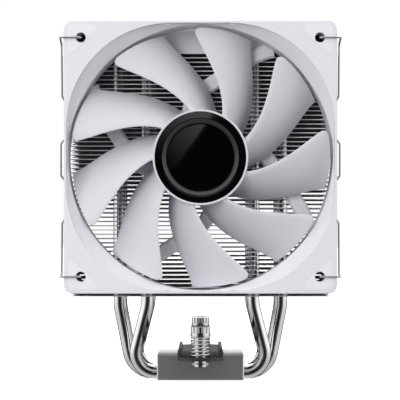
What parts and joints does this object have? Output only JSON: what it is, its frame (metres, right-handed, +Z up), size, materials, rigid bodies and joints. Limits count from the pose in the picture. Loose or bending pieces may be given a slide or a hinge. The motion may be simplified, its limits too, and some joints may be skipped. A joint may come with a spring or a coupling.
{
  "type": "cpu tower cooler",
  "caption": "White tower cooler for a computer processor: a framed axial fan clipped to a stack of metal fins on bent heat pipes, over a machined base with a sprung mounting crossbar.",
  "frame": {"origin": "middle of the flat contact face under the base, which rests on the processor", "axes": "+Z up along the tower, +X to the right seen from the fan, -Y out of the fan's front"},
  "size_m": [0.1278, 0.0997, 0.16],
  "materials": {
    "fan_frame_white": "satin",
    "impeller_white": "frosted",
    "cap_black": "gloss",
    "lens_dark": "mirror",
    "pad_white": "matte",
    "fin_metal": "bright",
    "cover_white": "satin",
    "pipe_nickel": "polished",
    "base_metal": "smooth",
    "bar_black": "satin",
    "hardware_chrome": "polished",
    "wire_steel": "drawn",
    "motor_steel": "plain",
    "magnet_dark": "matte",
    "bearing_bronze": "sintered",
    "bobbin_plastic": "matte",
    "winding_copper": "enamelled",
    "board_green": "satin",
    "label_silver": "matte"
  },
  "bodies": {
    "cooler": {"fan_frame": "fan_frame_white", "motor_label": "label_silver", "corner_pads_front": "pad_white", "corner_pads_rear": "pad_white", "thrust_pad": "bobbin_plastic", "bearing_sleeve": "bearing_bronze", "stator_core": "motor_steel", "stator_insulator": "bobbin_plastic", "stator_windings": "winding_copper", "fan_circuit_board": "board_green", "fin_stack": "fin_metal", "top_cover": "cover_white", "heat_pipe_1": "pipe_nickel", "heat_pipe_2": "pipe_nickel", "heat_pipe_3": "pipe_nickel", "heat_pipe_4": "pipe_nickel", "base_block": "base_metal", "base_top_block": "base_metal", "crossbar": "bar_black", "crossbar_screws": "hardware_chrome"},
    "rotor": {"fan_impeller": "impeller_white", "hub_cap": "cap_black", "hub_lens": "lens_dark", "rotor_cup": "motor_steel", "rotor_magnet": "magnet_dark", "fan_shaft": "hardware_chrome", "shaft_clip": "wire_steel"},
    "left_clip": {"wire_clip_left": "wire_steel"},
    "right_clip": {"wire_clip_right": "wire_steel"},
    "front_press": {"front_washer": "hardware_chrome", "front_spring": "hardware_chrome"},
    "front_nut": {"front_spring_nut": "hardware_chrome", "front_retaining_ring": "wire_steel"},
    "rear_press": {"rear_washer": "hardware_chrome", "rear_spring": "hardware_chrome"},
    "rear_nut": {"rear_spring_nut": "hardware_chrome", "rear_retaining_ring": "wire_steel"}
  },
  "joints": [
    {"name": "fan_spin", "type": "hinge", "parent": "cooler", "child": "rotor", "pos_m": [0, -0.04, 0.1], "axis": [0, -1, 0], "continuous": true},
    {"name": "left_clip_swing", "type": "hinge", "parent": "cooler", "child": "left_clip", "pos_m": [-0.0525, -0.0496, 0.1], "axis": [0, 0, 1], "range_deg": [0, 14], "stiffness_Nm_per_rad": 0.2, "springref_deg": -2.86},
    {"name": "right_clip_swing", "type": "hinge", "parent": "cooler", "child": "right_clip", "pos_m": [0.0525, -0.0496, 0.1], "axis": [0, 0, -1], "range_deg": [0, 14], "stiffness_Nm_per_rad": 0.2, "springref_deg": -2.86},
    {"name": "front_nut_press", "type": "slide", "parent": "cooler", "child": "front_press", "axis": [0, 0, -1], "range_m": [0, 0.004], "stiffness_N_per_m": 3000, "springref_m": -0.002, "deforming": ["front_spring"]},
    {"name": "front_nut_turn", "type": "hinge", "parent": "front_press", "child": "front_nut", "pos_m": [0, -0.042, 0.016], "axis": [0, 0, 1], "continuous": true},
    {"name": "rear_nut_press", "type": "slide", "parent": "cooler", "child": "rear_press", "axis": [0, 0, -1], "range_m": [0, 0.004], "stiffness_N_per_m": 3000, "springref_m": -0.002, "deforming": ["rear_spring"]},
    {"name": "rear_nut_turn", "type": "hinge", "parent": "rear_press", "child": "rear_nut", "pos_m": [0, 0.042, 0.016], "axis": [0, 0, 1], "continuous": true}
  ]
}
